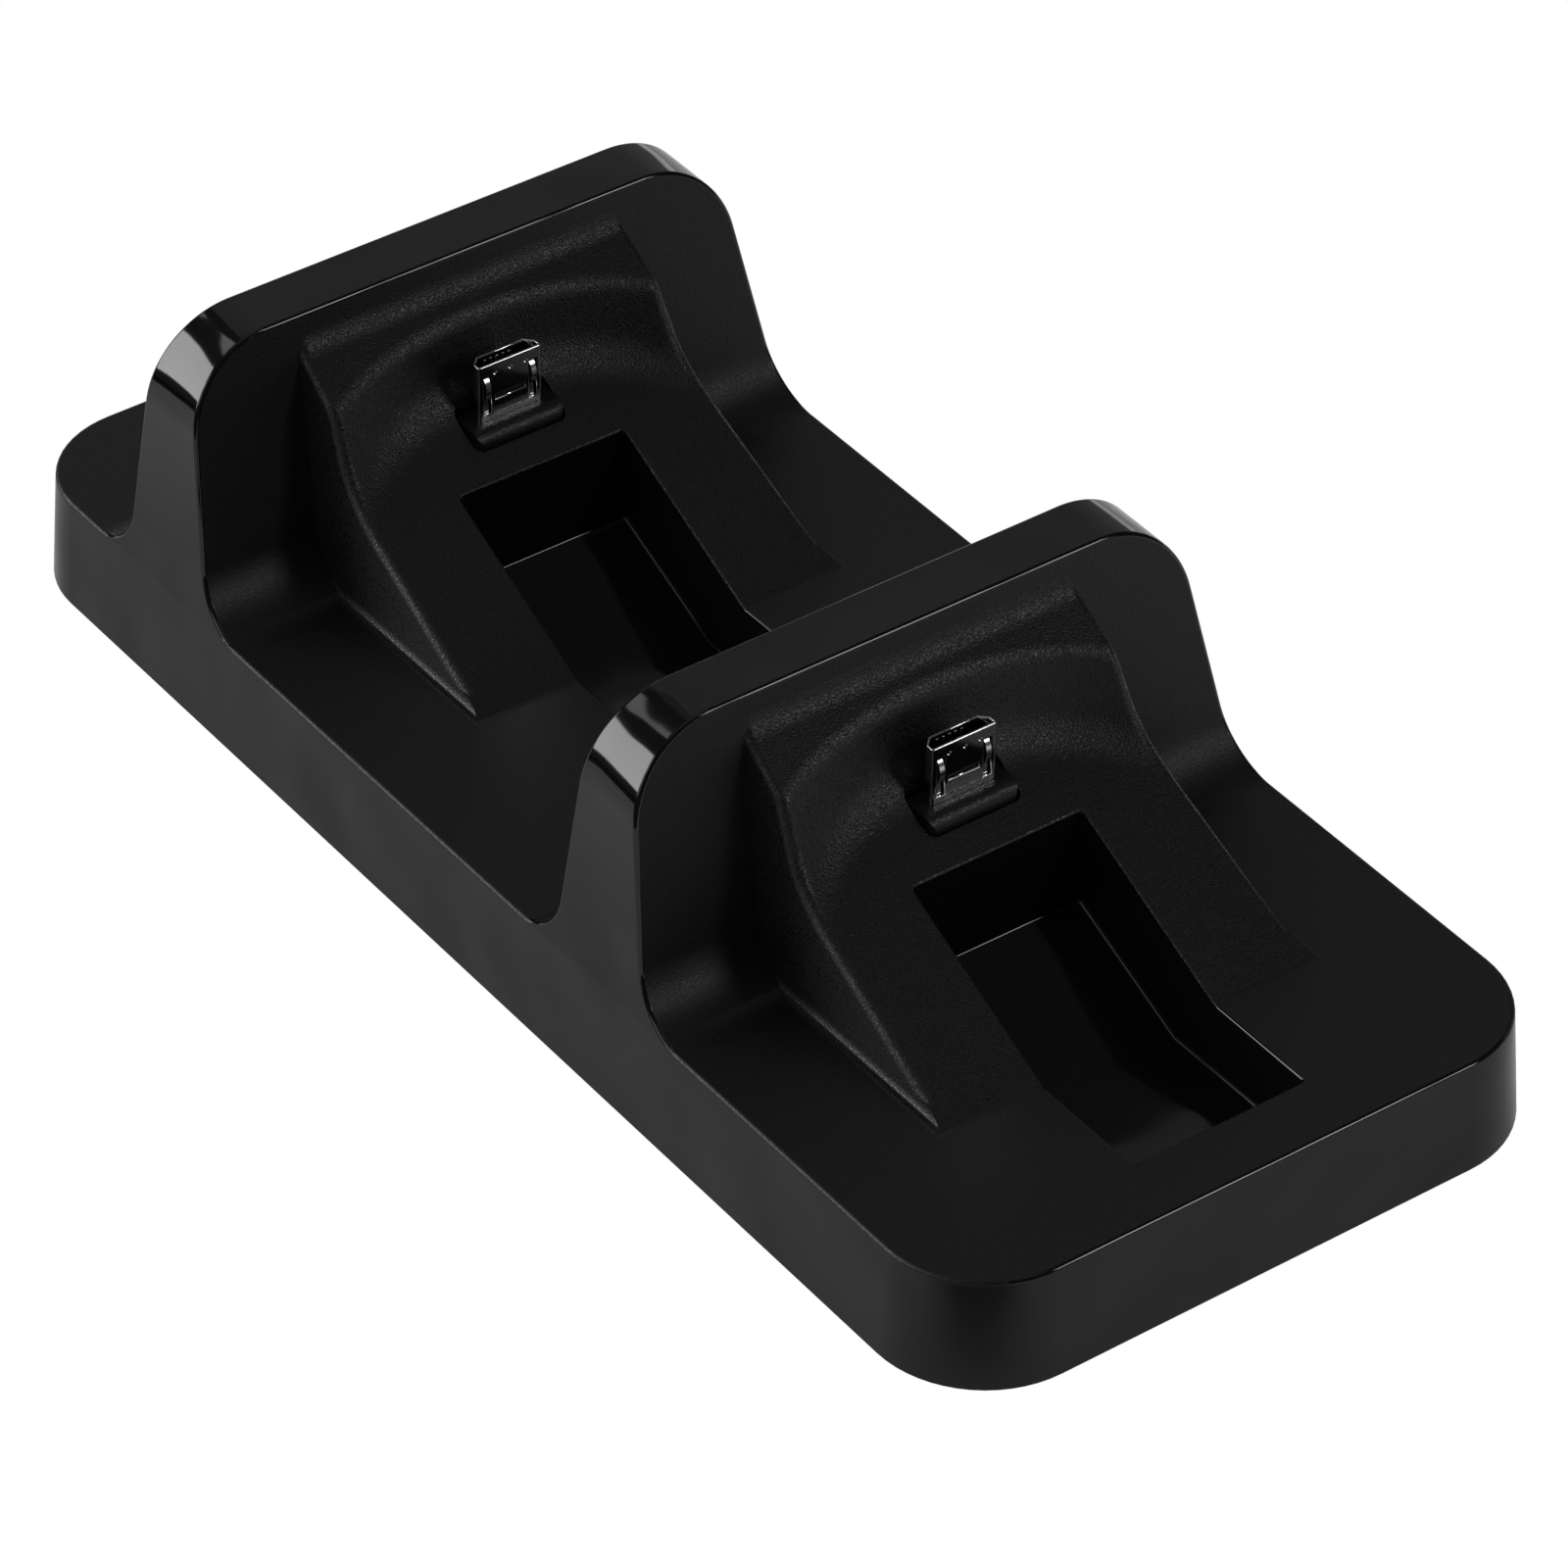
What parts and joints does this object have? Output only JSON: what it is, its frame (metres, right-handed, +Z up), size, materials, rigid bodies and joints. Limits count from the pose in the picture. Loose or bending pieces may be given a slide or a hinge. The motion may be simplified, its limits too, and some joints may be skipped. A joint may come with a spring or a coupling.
{
  "type": "controller charging dock",
  "caption": "Long low charging dock with leaning towers, scooped cradles and small upright plugs that hold game controllers while they charge.",
  "frame": {"origin": "middle of the footprint, on the surface that the rubber feet rest on", "axes": "+X to the right and +Z up; -Y is the front end, +Y the back end with the charging inlet"},
  "size_m": [0.0648, 0.1466, 0.0364],
  "materials": {
    "housing_plastic": "polished sides, fine spark texture on deck and tower fronts",
    "cover_plastic": "fine texture",
    "holder_plastic": "satin",
    "insulator_plastic": "satin",
    "board_laminate": "solder mask",
    "chip_resin": "moulded",
    "capacitor_can": "drawn",
    "resistor_ceramic": "coated",
    "plated_steel": "bright plating",
    "spring_steel": "rolled",
    "contact_brass": "gold flash",
    "screw_steel": "zinc plated",
    "power_insulation": "extruded",
    "return_insulation": "extruded",
    "foot_rubber": "moulded"
  },
  "bodies": {
    "root": {"board_screws": "screw_steel", "bottom_cover": "cover_plastic", "capacitors": "capacitor_can", "charge_chips": "chip_resin", "cover_screws": "screw_steel", "holder_screws": "screw_steel", "inlet_contacts": "contact_brass", "inlet_shell": "plated_steel", "inlet_tongue": "insulator_plastic", "main_board": "board_laminate", "plug_board_front": "board_laminate", "plug_board_rear": "board_laminate", "plug_contacts_front": "contact_brass", "plug_contacts_rear": "contact_brass", "plug_holder_front": "holder_plastic", "plug_holder_rear": "holder_plastic", "plug_latches_front": "spring_steel", "plug_latches_rear": "spring_steel", "plug_shell_front": "plated_steel", "plug_shell_rear": "plated_steel", "plug_tongue_front": "insulator_plastic", "plug_tongue_rear": "insulator_plastic", "power_lead_front": "power_insulation", "power_lead_rear": "power_insulation", "resistors": "resistor_ceramic", "return_lead_front": "return_insulation", "return_lead_rear": "return_insulation", "rubber_foot_back_left": "foot_rubber", "rubber_foot_back_right": "foot_rubber", "rubber_foot_front_left": "foot_rubber", "rubber_foot_front_right": "foot_rubber", "upper_housing": "housing_plastic"}
  },
  "joints": []
}
